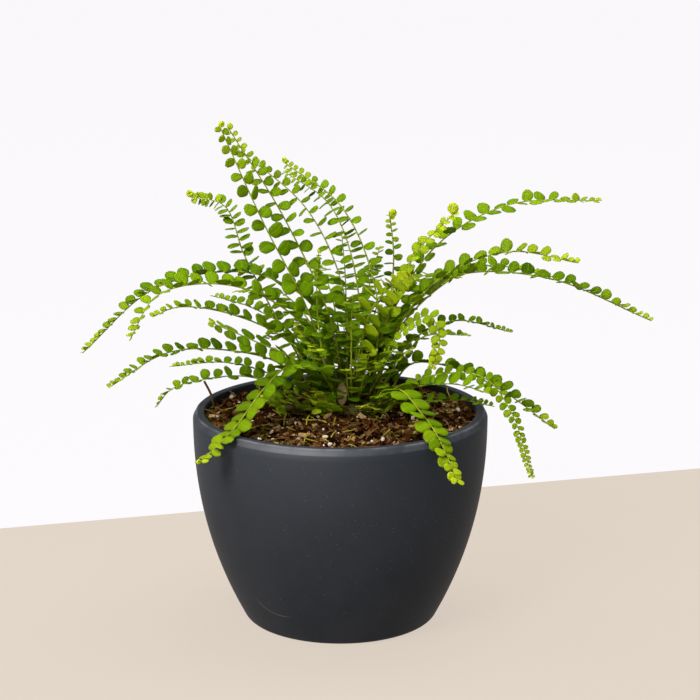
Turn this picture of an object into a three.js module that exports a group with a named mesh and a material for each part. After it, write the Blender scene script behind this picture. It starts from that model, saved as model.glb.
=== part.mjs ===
// A fern with small button-like leaflets, growing in a round ceramic bowl pot.
// Millimetres, +Z up. The origin is the centre of the pot's flat underside, -Y is the front.
import * as THREE from "three";

// ---------------------------------------------------------------- driving dimensions
const RIM_RADIUS = 90; // outside of the pot at its mouth
const POT_HEIGHT = 131;
const FOOT_RADIUS = 60; // outside of the pot where its side starts, just above the floor
const FOOT_ROUNDING = 6; // radius that rolls the side into the flat underside
const WALL = 7;
const FLOOR = 10; // thickness of the pot's bottom
const RIM_SLOPE_HEIGHT = 4; // the rim's outer edge is a sloping band this tall
const RIM_SLOPE_INWARDS = 2;
const RIM_BEVEL = 1; // takes the sharpness off the rim's inner edge
const SIDE_CURVE = 2.2; // 1 is a straight cone; higher swells out sooner and ends more upright
const POT_SIDES = 72;
const OUTER_RINGS = 14;
const INNER_RINGS = 10;
const SIDE_BUNCHING = 1.5; // above 1, the rings up the side lie closer together near the foot

const SOIL_BELOW_RIM = 4; // how far the potting mix lies under the rim
const SOIL_MOUND = 3; // how much it is heaped up towards the plant
const MIX_SIDES = 48;
const CLEARANCE = 0.3; // gap kept between pieces that touch

const PLANT_POT_RADIUS = 90; // the plant's reaches are for such a pot and grow with RIM_RADIUS
const CROWN_PLACE = [6, 12]; // where the plant sits, off the pot's axis
const CROWN_RADIUS = 25;
const CROWN_HEIGHT = 6;
const CROWN_EDGE = 0.35; // share of that height at which its top turns down into its side
const CROWN_SHOULDER = 0.7; // 1 is a round dome; lower is flatter with a fuller shoulder
const SIDE_CROWN_BEARING = 197; // of the younger side crown, from the main one
const SIDE_CROWN_GAP = 1.7; // between the two crowns' edges
const SIDE_CROWN_RADIUS = 10;
const SIDE_CROWN_HEIGHT = 4;
const CROWN_SIDES = 24;

const STIPE_RADIUS = 0.9; // a frond's bare stalk at its foot
const TIP_RADIUS = 0.45;
const BLADE_THICKNESS = 0.5; // at the middle of the leaflets, on each side of the rib
const FROND_STATIONS = 15;
const SWELLING = 0.25; // share of the leafy length over which leaflets grow to their longest
const SWELLING_CURVE = 0.6;
const TIP_NARROWING = 0.8; // share of their length that leaflets have lost at the tip

// ---------------------------------------------------------------- the fronds
// One row is one frond. Its rib lies in an upright plane through the crown's centre:
//   name, what its heights and reaches are measured from, bearing of the plane (0 is
//   +X, 90 is the back), seat and side: where it grows, along that bearing and beside it,
//   then the places that the rib passes, as [reach, height], ending at the tip,
//   roll of the blade about its rib in degrees, leaf: length of its longest leaflets,
//   bare: the share of the rib that carries no leaflets.
// From "crown" a reach starts at the crown's centre and a height at the potting mix;
// from "rim" they start at the pot's outer edge and its top, for a frond that hangs over it.
const FRONDS = [
  ["frond_upper_left_front", "crown", 205, 5, 0, [[32, 74], [56, 120], [84, 181]], -70, 9, 0.36],
  ["frond_upper_left_middle", "crown", 185, 4, 6, [[12, 57], [40, 121], [73, 176]], -60, 8, 0.36],
  ["frond_upper_left_back", "crown", 165, 2, 0, [[4, 74], [27, 124], [73, 161]], -55, 7, 0.36],
  ["frond_top_left_front", "crown", 160, -15, 0, [[-17, 74], [5, 126], [43, 152]], -55, 7, 0.36],
  ["frond_top_left_back", "crown", 130, -6, 4, [[-8, 74], [16, 123], [64, 141]], -50, 7, 0.36],
  ["frond_left_edge_on", "crown", 169, 16, 4, [[42, 49], [66, 95], [78, 125], [100, 130]], -70, 8, 0.36],
  ["frond_left_long", "crown", 184, 10, -8, [[22, 65], [60, 87], [117, 79], [163, 39]], -8, 9, 0.24],
  ["frond_left_drooping", "crown", 205, 12, -6, [[30, 55], [76, 85], [124, 84], [142, 59]], -12, 8, 0.26],
  ["frond_left_short_front", "crown", 197, 17, 0, [[38, 45], [76, 66], [108, 72], [123, 67]], -10, 8, 0.26],
  ["frond_left_short_back", "crown", 152, 18, 0, [[42, 45], [72, 58], [99, 62]], -10, 7, 0.3],
  ["frond_left_towards_front", "crown", 222, 18, -4, [[42, 37], [78, 57], [110, 73]], -15, 11, 0.3],
  ["frond_left_low_long", "crown", 196, 22, 5, [[42, 31], [76, 43], [114, 44], [150, 25]], -8, 8, 0.22],
  ["frond_left_low_back", "crown", 165, 23, 0, [[50, 19], [80, 25], [117, 20]], -10, 6, 0.24],
  ["frond_over_left_rim", "rim", 176, 24, 0, [[-32, 16], [0, 13], [17, 7], [26, -4]], -10, 7, 0.22],
  ["frond_over_front_left_rim", "rim", 226, 24, 0, [[-52, 33], [-30, 24], [-6, 5], [23, -11]], 8, 10, 0.2],
  ["frond_upright_right", "crown", 30, 14, 0, [[26, 49], [31, 92], [28, 120]], 65, 6, 0.36],
  ["frond_upper_right_young", "crown", -5, 8, 4, [[22, 55], [40, 99], [64, 125]], 35, 8, 0.34],
  ["frond_upper_right_long", "crown", 8, 10, 4, [[30, 69], [57, 105], [99, 126], [156, 127]], 15, 8, 0.28],
  ["frond_right_bright", "crown", -14, 15, -5, [[34, 61], [62, 90], [99, 104], [139, 99]], 10, 8, 0.28],
  ["frond_right_longest", "crown", -4, 14, 2, [[28, 51], [61, 84], [118, 85], [183, 59]], 8, 8, 0.26],
  ["frond_right_behind", "crown", 10, 15, 8, [[36, 57], [80, 87], [128, 79]], 10, 8, 0.3],
  ["frond_right_middle", "crown", 5, 19, 0, [[36, 41], [64, 55], [100, 47]], 12, 6, 0.3],
  ["frond_right_back", "crown", 32, 17, 0, [[34, 21], [53, 39], [89, 36]], 10, 6, 0.3],
  ["frond_right_hanging", "crown", -35, 13, 0, [[34, 51], [58, 67], [65, 53], [59, 34]], 50, 5, 0.5],
  ["frond_over_right_rim", "rim", -12, 22, 0, [[-48, 27], [-21, 26], [9, 13], [41, -9]], 8, 8, 0.22],
  ["frond_right_low", "crown", -28, 23, -3, [[40, 18], [70, 25], [94, 22]], 8, 8, 0.2],
  ["frond_over_front_right_rim", "rim", -58, 23, 0, [[-42, 21], [-18, 12], [-2, 3], [20, -20]],
    -10, 10, 0.2],
  ["frond_hanging_right_rim", "rim", -22, 22, 0, [[-40, 21], [-2, 25], [16, 5], [30, -35]], 45, 5, 0.34],
  ["frond_on_right_rim", "rim", -12, 25, 6, [[-37, 4], [-15, 6], [4, 3]], 8, 6, 0.25],
  ["frond_front_bright", "crown", -65, 8, 0, [[14, 43], [37, 76], [84, 101]], 30, 9, 0.4],
  ["frond_middle_upright", "crown", 228, 10, 0, [[24, 37], [30, 75], [28, 105]], -40, 8, 0.34],
  ["frond_inner_back", "crown", 100, 6, 0, [[12, 39], [16, 79], [30, 107]], 0, 7, 0.34],
  ["frond_inner_right_back", "crown", 60, 8, 0, [[16, 39], [24, 74], [38, 97]], 0, 7, 0.34],
  ["frond_inner_right", "crown", 14, 4, -3, [[11, 34], [18, 67], [32, 85]], -20, 7, 0.34],
  ["frond_inner_front", "crown", -88, 13, 0, [[17, 29], [22, 59], [38, 81]], 0, 8, 0.34],
  ["frond_low_front_left", "crown", 241, 14, 0, [[26, 22], [42, 37], [64, 41]], 0, 8, 0.3],
  ["frond_back_right_high", "crown", 46, 14, 0, [[26, 39], [60, 73], [102, 69]], 0, 8, 0.3],
  ["frond_back_right_low", "crown", 63, 19, 0, [[28, 21], [54, 41], [90, 35]], 0, 8, 0.28],
  ["frond_back_high", "crown", 78, 13, 0, [[22, 44], [50, 75], [92, 73]], 0, 8, 0.3],
  ["frond_over_back_rim", "rim", 92, 19, 0, [[-40, 23], [-10, 25], [24, -1]], 0, 8, 0.26],
  ["frond_back_left_high", "crown", 108, 14, 0, [[20, 41], [48, 73], [88, 77]], 0, 8, 0.3],
  ["frond_back_left_low", "crown", 124, 20, 0, [[28, 23], [60, 43], [102, 25]], 0, 8, 0.28],
  ["frond_back_left_side", "crown", 138, 14, 0, [[24, 39], [56, 65], [98, 61]], 0, 8, 0.3],
  ["young_leaf_front_left", "crown", 228, 26, 0, [[34, 13], [42, 19]], 0, 5, 0.3],
  ["young_leaf_front", "crown", 246, 25, 0, [[30, 11], [38, 15]], 0, 5, 0.3],
  ["young_leaf_front_right", "crown", -75, 25, 2, [[31, 10], [40, 14]], 0, 5, 0.3],
];

// ---------------------------------------------------------------- loose pieces on the mix
// name, bearing and reach from the pot's axis, then length, width, height and turn.
const LOOSE_PIECES = [
  ["bark_chip_left", 196, 66, 11, 6, 3.2, 30],
  ["bark_chip_right", -24, 62, 13, 5, 2.8, 70],
  ["bark_chip_back", 70, 60, 12, 7, 3, 10],
  ["perlite_grain_front", -62, 46, 4.4, 3.8, 3.2, 0],
  ["perlite_grain_right", -52, 58, 5, 4, 3.4, 40],
  ["perlite_grain_left", 232, 60, 4, 3.6, 3, 20],
];
const DRY_STALK_RADIUS = 0.8;
const DRY_STALK_PLACE = [168, 80]; // bearing and reach from the pot's axis
const DRY_STALK_TOP = [6, 12]; // how far it leans out and stands above the rim
const DRY_STALK_BEND = 2; // how far it bows to one side, halfway up
const LEAF_SCRAP = [6, 0.9, 15]; // width, thickness and height of a withered leaflet
const LEAF_SCRAP_PLACE = [-5, -21]; // from the crown's centre

// ---------------------------------------------------------------- materials
const POT_GLAZE = { color: 0x3a3d42, roughness: 0.62, metalness: 0.0 };
const POTTING_MIX = { color: 0x2a1a10, roughness: 0.95, metalness: 0.0 };
const RHIZOME = { color: 0x5a4a22, roughness: 0.85, metalness: 0.0 };
const GREEN_BLADE = { color: 0x3f7d14, roughness: 0.5, metalness: 0.0 };
const YOUNG_BLADE = { color: 0x86ab1e, roughness: 0.5, metalness: 0.0 };
const BARK = { color: 0x4a2a16, roughness: 0.9, metalness: 0.0 };
const PERLITE = { color: 0xd8d0c0, roughness: 0.9, metalness: 0.0 };
const DRY_LEAF = { color: 0x9a7240, roughness: 0.85, metalness: 0.0 };

function named(name, geometry, finish) {
  const mesh = new THREE.Mesh(geometry, new THREE.MeshStandardMaterial(finish));
  mesh.name = name;
  return mesh;
}

const soilLevel = POT_HEIGHT - SOIL_BELOW_RIM;

// The side starts where the rounded foot has turned up to the side's own slope, and ends
// under the rim's sloping band.
const flare = RIM_RADIUS - FOOT_RADIUS;
const sideTop = POT_HEIGHT - RIM_SLOPE_HEIGHT;
const footAngle = Math.atan((SIDE_CURVE * flare) / (sideTop - FOOT_ROUNDING));
const sideStart = FOOT_ROUNDING * (1 - Math.sin(footAngle));

// Outside radius of the pot's side at a height.
function outsideRadius(z) {
  const up = THREE.MathUtils.clamp((z - sideStart) / (sideTop - sideStart), 0, 1);
  return FOOT_RADIUS + flare * (1 - (1 - up) ** SIDE_CURVE);
}

function insideRadius(z) {
  return outsideRadius(z) - WALL;
}

// Heights up the side, closer together near the foot, where the wall turns fastest.
function sideHeights(from, to, count) {
  const heights = [];
  for (let i = 0; i <= count; i++) {
    heights.push(from + (to - from) * (i / count) ** SIDE_BUNCHING);
  }
  return heights;
}

function potGeometry() {
  const profile = [new THREE.Vector2(0, 0)];
  const turnCentre = FOOT_RADIUS - FOOT_ROUNDING * Math.cos(footAngle);
  const turns = 5;
  for (let i = 0; i <= turns; i++) {
    const angle = -Math.PI / 2 + (Math.PI / 2 - footAngle) * (i / turns);
    profile.push(new THREE.Vector2(
      turnCentre + FOOT_ROUNDING * Math.cos(angle),
      FOOT_ROUNDING * (1 + Math.sin(angle)),
    ));
  }
  for (const z of sideHeights(sideStart, sideTop, OUTER_RINGS).slice(1)) {
    profile.push(new THREE.Vector2(outsideRadius(z), z));
  }
  profile.push(new THREE.Vector2(RIM_RADIUS - RIM_SLOPE_INWARDS, POT_HEIGHT));
  profile.push(new THREE.Vector2(RIM_RADIUS - WALL + RIM_BEVEL, POT_HEIGHT));
  const mouth = POT_HEIGHT - RIM_BEVEL;
  for (const z of sideHeights(FLOOR + FOOT_ROUNDING, mouth, INNER_RINGS).reverse()) {
    profile.push(new THREE.Vector2(insideRadius(z), z));
  }
  profile.push(new THREE.Vector2(insideRadius(FLOOR) - FOOT_ROUNDING, FLOOR));
  profile.push(new THREE.Vector2(0, FLOOR));
  return new THREE.LatheGeometry(profile, POT_SIDES).rotateX(Math.PI / 2);
}

// The mix fills the pot to its level and is heaped a little towards the plant.
function pottingMixGeometry() {
  const profile = [new THREE.Vector2(0, FLOOR + CLEARANCE)];
  const underside = insideRadius(FLOOR) - FOOT_ROUNDING - CLEARANCE;
  profile.push(new THREE.Vector2(underside, FLOOR + CLEARANCE));
  for (const z of sideHeights(FLOOR + FOOT_ROUNDING, soilLevel, INNER_RINGS)) {
    profile.push(new THREE.Vector2(insideRadius(z) - CLEARANCE * 2, z));
  }
  const edge = insideRadius(soilLevel) - CLEARANCE * 2;
  const topRings = 5;
  for (let i = 1; i <= topRings; i++) {
    const radius = edge * (1 - i / topRings);
    profile.push(new THREE.Vector2(radius, soilHeight(radius)));
  }
  return new THREE.LatheGeometry(profile, MIX_SIDES).rotateX(Math.PI / 2);
}

// Height of the heaped mix at a distance from the pot's axis.
function soilHeight(radius) {
  const out = Math.min(radius / insideRadius(soilLevel), 1);
  return soilLevel + SOIL_MOUND * (1 - out * out);
}

// A low round dome that sits on the mix: the head that the fronds grow from.
function crownGeometry(radius, height) {
  const profile = [new THREE.Vector2(0, 0), new THREE.Vector2(radius, 0)];
  const rings = 4;
  for (let i = 1; i <= rings; i++) {
    const angle = (i / rings) * (Math.PI / 2);
    profile.push(new THREE.Vector2(
      i === rings ? 0 : radius * Math.cos(angle) ** CROWN_SHOULDER,
      height * (CROWN_EDGE + (1 - CROWN_EDGE) * Math.sin(angle)),
    ));
  }
  return new THREE.LatheGeometry(profile, CROWN_SIDES).rotateX(Math.PI / 2);
}

// ---------------------------------------------------------------- fronds
const crownBase = soilLevel + SOIL_MOUND + CLEARANCE;
const spread = RIM_RADIUS / PLANT_POT_RADIUS;
const crownX = CROWN_PLACE[0] * spread;
const crownY = CROWN_PLACE[1] * spread;

// Height of the crown's top, or of the mix beyond its edge, under the stalk of a frond.
function standingHeight(x, y) {
  const distance = Math.hypot(x - crownX, y - crownY);
  const nearest = Math.max(distance - STIPE_RADIUS, 0) / CROWN_RADIUS;
  if (nearest >= 1) return soilHeight(Math.hypot(x, y));
  const rise = Math.sqrt(1 - nearest ** (2 / CROWN_SHOULDER));
  return crownBase + CROWN_HEIGHT * (CROWN_EDGE + (1 - CROWN_EDGE) * rise);
}

// How far the pot's outer edge lies from the crown's centre, along a bearing.
function rimDistance(bearing) {
  const angle = THREE.MathUtils.degToRad(bearing);
  const along = crownX * Math.cos(angle) + crownY * Math.sin(angle);
  return Math.sqrt(along ** 2 - crownX ** 2 - crownY ** 2 + RIM_RADIUS ** 2) - along;
}

// The rib's curve, from its foot on the crown, through the row's places, to the tip.
function ribCurve(row) {
  const [, from, bearing, seat, side, places] = row;
  const angle = THREE.MathUtils.degToRad(bearing);
  const shift = from === "rim" ? rimDistance(bearing) : 0;
  const level = from === "rim" ? POT_HEIGHT : soilLevel;
  const point = (reach, height) => new THREE.Vector3(
    crownX + reach * Math.cos(angle),
    crownY + reach * Math.sin(angle),
    height,
  );
  const passed = places.map(([reach, height]) => point(shift + reach * spread, level + height));
  const foot = point(seat, 0);
  foot.x -= side * Math.sin(angle);
  foot.y += side * Math.cos(angle);
  foot.z = standingHeight(foot.x, foot.y) + CLEARANCE;
  const leaning = passed[0].clone().sub(foot).normalize();
  foot.z += STIPE_RADIUS * Math.hypot(leaning.x, leaning.y); // its slanted end clears the crown
  return new THREE.CatmullRomCurve3([foot, ...passed], false, "centripetal");
}

// Half the width of a blade along its length: bare stalk, then leaflets, short at both ends.
function halfWidth(along, leaf, bare) {
  const leafy = Math.max((along - bare) / (1 - bare), 0);
  if (leafy === 0) return STIPE_RADIUS;
  const swollen = Math.min(leafy / SWELLING, 1) ** SWELLING_CURVE;
  return Math.max(leaf * swollen * (1 - TIP_NARROWING * leafy ** 3), STIPE_RADIUS);
}

// A frond is one closed strip: a lens across its rib, swept along the rib's curve.
function frondGeometry(row) {
  const curve = ribCurve(row);
  const [roll, leaf, bare] = row.slice(6);
  const heading = THREE.MathUtils.degToRad(row[2]);
  const level = new THREE.Vector3(Math.sin(heading), -Math.cos(heading), 0);
  const positions = [];
  for (let i = 0; i <= FROND_STATIONS; i++) {
    const along = i / FROND_STATIONS;
    const centre = curve.getPointAt(along);
    const tangent = curve.getTangentAt(along);
    const across = level.clone().applyAxisAngle(tangent, THREE.MathUtils.degToRad(roll));
    const face = new THREE.Vector3().crossVectors(across, tangent);
    const half = halfWidth(along, leaf, bare);
    const rib = STIPE_RADIUS + (TIP_RADIUS - STIPE_RADIUS) * along;
    const thick = half > rib ? Math.max(rib, BLADE_THICKNESS) : rib;
    for (const corner of [
      centre.clone().addScaledVector(across, half),
      centre.clone().addScaledVector(face, thick),
      centre.clone().addScaledVector(across, -half),
      centre.clone().addScaledVector(face, -thick),
    ]) {
      positions.push(corner.x, corner.y, corner.z);
    }
  }
  const triangles = [0, 1, 2, 0, 2, 3];
  for (let i = 0; i < FROND_STATIONS; i++) {
    for (let k = 0; k < 4; k++) {
      const a = 4 * i + k;
      const b = 4 * i + ((k + 1) % 4);
      triangles.push(a, a + 4, b, b, a + 4, b + 4);
    }
  }
  const end = 4 * FROND_STATIONS;
  triangles.push(end, end + 2, end + 1, end, end + 3, end + 2);
  const geometry = new THREE.BufferGeometry();
  geometry.setAttribute("position", new THREE.Float32BufferAttribute(positions, 3));
  geometry.setIndex(triangles);
  geometry.computeVertexNormals();
  return geometry;
}

// ---------------------------------------------------------------- small pieces
// A tumbled lump: a coarse ball squeezed to its length, width and height.
function lumpGeometry(length, width, height) {
  const ball = new THREE.IcosahedronGeometry(0.5, 1);
  return ball.scale(length, width, height);
}

// A dead stalk that stands in the mix against the wall and leans over the rim.
function dryStalkGeometry() {
  const [lean, above] = DRY_STALK_TOP;
  const foot = soilHeight(DRY_STALK_PLACE[1] * spread) + CLEARANCE;
  const rise = POT_HEIGHT + above - foot;
  const path = new THREE.CatmullRomCurve3([
    new THREE.Vector3(0, 0, 0),
    new THREE.Vector3(lean * 0.2, DRY_STALK_BEND, rise / 2),
    new THREE.Vector3(lean, 0, rise),
  ]);
  const section = new THREE.Shape();
  section.absarc(0, 0, DRY_STALK_RADIUS, 0, 2 * Math.PI);
  const geometry = new THREE.ExtrudeGeometry(section, {
    steps: 8,
    curveSegments: 3,
    extrudePath: path,
  });
  return geometry.translate(0, 0, DRY_STALK_RADIUS);
}

// ---------------------------------------------------------------- assembly
const fern = new THREE.Group();

// Stand a piece on the mix: bearing and reach from the pot's axis, turned about upright.
function onMix(mesh, bearing, reach, turn, lift = 0) {
  const angle = THREE.MathUtils.degToRad(bearing);
  mesh.position.set(
    reach * spread * Math.cos(angle),
    reach * spread * Math.sin(angle),
    soilHeight(reach * spread) + CLEARANCE + lift,
  );
  mesh.rotation.z = THREE.MathUtils.degToRad(turn);
  fern.add(mesh);
}

fern.add(named("pot", potGeometry(), POT_GLAZE));
fern.add(named("potting_mix", pottingMixGeometry(), POTTING_MIX));

const crownMain = named("crown_main", crownGeometry(CROWN_RADIUS, CROWN_HEIGHT), RHIZOME);
crownMain.position.set(crownX, crownY, crownBase);
fern.add(crownMain);

const sideDome = crownGeometry(SIDE_CROWN_RADIUS, SIDE_CROWN_HEIGHT);
const crownSide = named("crown_side", sideDome, RHIZOME);
const crownsApart = CROWN_RADIUS + SIDE_CROWN_RADIUS + SIDE_CROWN_GAP;
const sideAngle = THREE.MathUtils.degToRad(SIDE_CROWN_BEARING);
crownSide.position.set(
  crownX + crownsApart * Math.cos(sideAngle),
  crownY + crownsApart * Math.sin(sideAngle),
  crownBase,
);
fern.add(crownSide);

for (const row of FRONDS) {
  const finish = row[0].includes("young") ? YOUNG_BLADE : GREEN_BLADE;
  fern.add(named(row[0], frondGeometry(row), finish));
}
for (const [name, bearing, reach, length, width, height, turn] of LOOSE_PIECES) {
  const finish = name.startsWith("bark") ? BARK : PERLITE;
  const mesh = named(name, lumpGeometry(length, width, height), finish);
  onMix(mesh, bearing, reach, turn, height / 2);
}
const [stalkBearing, stalkReach] = DRY_STALK_PLACE;
onMix(named("dry_stalk", dryStalkGeometry(), DRY_LEAF), stalkBearing, stalkReach, stalkBearing);
const scrap = named("dry_leaf_scrap", lumpGeometry(...LEAF_SCRAP), DRY_LEAF);
const scrapX = crownX + LEAF_SCRAP_PLACE[0];
const scrapY = crownY + LEAF_SCRAP_PLACE[1];
scrap.position.set(scrapX, scrapY, standingHeight(scrapX, scrapY) + CLEARANCE + LEAF_SCRAP[2] / 2);
fern.add(scrap);

export default fern;
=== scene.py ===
# %% [markdown]
# # A button fern in a charcoal bowl pot
#
# The CAD model gives the real sizes: a round ceramic pot, the potting mix in it, and one
# plain strip for every frond. A fern's look is all in what grows along those strips, so
# this lesson keeps each strip's rib where it is and dresses it with a stalk and leaflets.
#
# Everything is in metres, with the pot's underside at height 0 and its front towards -Y.

# %% Load the CAD model
import math
import random
import bmesh
import bpy
import numpy as np
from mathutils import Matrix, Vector
from mathutils.bvhtree import BVHTree


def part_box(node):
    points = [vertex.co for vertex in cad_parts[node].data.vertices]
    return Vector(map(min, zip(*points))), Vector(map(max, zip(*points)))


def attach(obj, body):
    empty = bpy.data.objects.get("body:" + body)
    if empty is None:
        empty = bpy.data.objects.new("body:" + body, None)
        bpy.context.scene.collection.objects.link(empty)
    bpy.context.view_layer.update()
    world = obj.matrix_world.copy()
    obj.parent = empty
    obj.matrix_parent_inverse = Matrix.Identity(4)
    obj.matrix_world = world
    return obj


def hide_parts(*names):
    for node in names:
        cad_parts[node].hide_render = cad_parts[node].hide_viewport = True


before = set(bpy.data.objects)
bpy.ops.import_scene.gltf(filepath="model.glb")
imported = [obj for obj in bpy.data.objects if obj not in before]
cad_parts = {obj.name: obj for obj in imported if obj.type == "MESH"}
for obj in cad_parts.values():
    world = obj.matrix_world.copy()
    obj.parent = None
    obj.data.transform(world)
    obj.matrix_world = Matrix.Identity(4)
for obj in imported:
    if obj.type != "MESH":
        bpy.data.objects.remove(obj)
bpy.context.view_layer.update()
MM = 0.001
print("CAD nodes:", len(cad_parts))

# %% [markdown]
# ## Sizes
#
# The pot, the mix and the crown are measured from their CAD nodes, so that a change of
# size there carries over to every piece made here.

# %% Measure the pot, the mix and the crown
pot_low, pot_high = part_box("pot")
rim_radius = (pot_high.x - pot_low.x) / 2
pot_height = pot_high.z
WALL = 7 * MM
FLOOR = 10 * MM
FOOT_RADIUS = rim_radius * 2 / 3
FOOT_ROUNDING = 6 * MM
SIDE_CURVE = 2.2
SOIL_MOUND = 3 * MM
mix_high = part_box("potting_mix")[1]
soil_level = mix_high.z - SOIL_MOUND
crown_low, crown_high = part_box("crown_main")
crown_centre = (crown_low + crown_high) / 2
print(f"pot {rim_radius * 2:.3f} m wide, {pot_height:.3f} m high, mix at {soil_level:.3f} m")

# %% [markdown]
# ## Camera
#
# The pot is seen from a little above its rim, from far enough away that its sides
# hardly converge. A long lens does that.

# %% Set up the camera
CAMERA_DISTANCE = 1.3
LOOKED_AT = pot_height - 5 * MM
CAMERA_ELEVATION = math.radians(15.6)
AIM_DOWN = math.radians(13.806)
AIM_RIGHT = math.radians(0.27)
SENSOR_WIDTH = 36
LENS = 109.2
camera_data = bpy.data.cameras.new("camera")
camera_data.sensor_width = SENSOR_WIDTH
camera_data.lens = LENS
camera = bpy.data.objects.new("camera", camera_data)
camera.location = (
    0,
    -CAMERA_DISTANCE * math.cos(CAMERA_ELEVATION),
    LOOKED_AT + CAMERA_DISTANCE * math.sin(CAMERA_ELEVATION),
)
camera.rotation_euler = (math.pi / 2 - AIM_DOWN, 0, -AIM_RIGHT)
bpy.context.scene.collection.objects.link(camera)
bpy.context.scene.camera = camera
print("camera at", [round(v, 3) for v in camera.location])

# %% [markdown]
# ## Shader sums
#
# Every finish below is worked out by nodes. Written one node at a time that is long and
# hard to read, so `Value` wraps a socket and lets Python's own signs add Math nodes,
# and `Finish.node` makes any other node in one line.

# %% A small class for shader maths
class Value:
    """One output socket. Sums with it add Math nodes to its material."""

    def __init__(self, finish, socket):
        self.finish = finish
        self.socket = socket

    def math(self, operation, *others, clamp=False):
        inputs = {index: other for index, other in enumerate((self, *others))}
        settings = {"operation": operation, "use_clamp": clamp}
        return self.finish.node("Math", settings, inputs)

    def __add__(self, other):
        return self.math("ADD", other)

    def __sub__(self, other):
        return self.math("SUBTRACT", other)

    def __rsub__(self, other):
        return self.finish.node("Math", {"operation": "SUBTRACT"}, {0: other, 1: self})

    def __mul__(self, other):
        return self.math("MULTIPLY", other)

    def __pow__(self, other):
        return self.math("POWER", other)

    def between(self, low, high):
        """0 below `low`, 1 above `high`, and a smooth rise from one to the other."""
        return self.finish.node(
            "MapRange",
            {"interpolation_type": "SMOOTHSTEP"},
            {"Value": self, "From Min": low, "From Max": high},
        )

    __radd__ = __add__
    __rmul__ = __mul__


def socket_name(word):
    """The shader's own name for a socket written in small letters."""
    return word.replace("_", " ").title().replace("Ior", "IOR")


class Finish:
    """A material that is being put together around one Principled shader."""

    def __init__(self, name, **constants):
        self.material = bpy.data.materials.new(name)
        self.material.use_nodes = True
        self.tree = self.material.node_tree
        self.shader = self.tree.nodes["Principled BSDF"]
        for socket, value in constants.items():
            self.shader.inputs[socket_name(socket)].default_value = value

    def node(self, kind, settings=None, inputs=None, out=0):
        made = self.tree.nodes.new("ShaderNode" + kind)
        for key, value in (settings or {}).items():
            setattr(made, key, value)
        for key, value in (inputs or {}).items():
            if isinstance(value, Value):
                self.tree.links.new(value.socket, made.inputs[key])
            else:
                made.inputs[key].default_value = value
        return Value(self, made.outputs[out])

    def place(self):
        """Position on the piece, in metres from the object's origin."""
        return self.node("TexCoord", out="Object")

    def noise(self, scale, detail=3.0, rough=0.5, place=None):
        inputs = {"Scale": scale, "Detail": detail, "Roughness": rough}
        inputs["Vector"] = place or self.place()
        return self.node("TexNoise", inputs=inputs)

    def cells(self, scale, place=None, out="Distance"):
        inputs = {"Scale": scale, "Vector": place or self.place()}
        return self.node("TexVoronoi", inputs=inputs, out=out)

    def attribute(self, name, out="Color"):
        return self.node("Attribute", {"attribute_name": name}, out=out)

    def parts(self, vector):
        """The three numbers of a position or colour."""
        made = self.tree.nodes.new("ShaderNodeSeparateXYZ")
        self.tree.links.new(vector.socket, made.inputs[0])
        return [Value(self, output) for output in made.outputs]

    def blend(self, share, first, second):
        """From one colour to the other as `share` goes from 0 to 1."""
        colours = {0: share}
        for index, colour in ((6, first), (7, second)):
            colours[index] = colour if isinstance(colour, Value) else (*colour, 1)
        settings = {"data_type": "RGBA", "clamp_factor": True}
        return self.node("Mix", settings, colours, out=2)

    def bump(self, height, distance, strength=1.0):
        inputs = {"Height": height, "Distance": distance, "Strength": strength}
        return self.node("Bump", inputs=inputs)

    def wear(self, **sockets):
        """Feed the shader's own sockets, named in small letters."""
        for name, value in sockets.items():
            self.tree.links.new(value.socket, self.shader.inputs[socket_name(name)])
        return self.material


print("shader helpers ready")

# %% [markdown]
# ## Studio
#
# The pot stands on a beige sheet that ends a little way behind it. Beyond the sheet is a
# white floor, and a round white wall stands where it ends, so the object can be looked at
# from any side. Only the camera sees the wall: it neither lights the object nor shades it.

# %% Lay the studio floor
def deselect():
    """Nothing stays selected, so the next operator acts on the new piece only."""
    if bpy.context.object and bpy.context.object.mode != "OBJECT":
        bpy.ops.object.mode_set(mode="OBJECT")
    bpy.ops.object.select_all(action="DESELECT")


def floor_finish(name, colour, grain, glow, shade):
    """A floor that gives off most of its own light, so that shadows on it stay faint."""
    finish = Finish(name, roughness=0.9, specular_ior_level=0.0, emission_strength=glow)
    finish.shader.inputs["Emission Color"].default_value = (*colour, 1)
    mottle = finish.noise(grain, detail=4)
    matt = tuple(shade * channel for channel in colour)
    darker = tuple(0.97 * channel for channel in matt)
    return finish.wear(
        base_color=finish.blend(mottle, darker, matt),
        normal=finish.bump(mottle, 0.0002, 0.3),
    )


BEIGE = (0.475, 0.418, 0.362)
WHITE = (0.30, 0.295, 0.30)
WHITE_GLOW = 3.12
FLOOR_SIZE = 16
FLOOR_DROP = 2 * MM
STUDIO_WALL_RADIUS = 7.8
STUDIO_WALL_HEIGHT = 8
SHEET_DROP = 0.2 * MM
SHEET_SIZE = 3.0
SHEET_TURN = math.radians(15.4)
SHEET_BACK_EDGE = Vector((-0.238, 0.162, 0))
along = Vector((math.cos(SHEET_TURN), math.sin(SHEET_TURN), 0))
back = Vector((-math.sin(SHEET_TURN), math.cos(SHEET_TURN), 0))
sheet_centre = SHEET_BACK_EDGE - back * SHEET_SIZE / 2
deselect()
bpy.ops.mesh.primitive_plane_add(
    size=SHEET_SIZE,
    location=sheet_centre,
    rotation=(0, 0, SHEET_TURN),
)
sheet = bpy.context.object
sheet.name = "studio_sheet"
sheet.location.z = -SHEET_DROP
sheet.data.materials.append(floor_finish("beige_sheet", BEIGE, 9, 1.36, 0.17))
deselect()
bpy.ops.mesh.primitive_plane_add(size=FLOOR_SIZE, location=(0, 0, -FLOOR_DROP))
white_floor = bpy.context.object
white_floor.name = "studio_floor"
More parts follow.
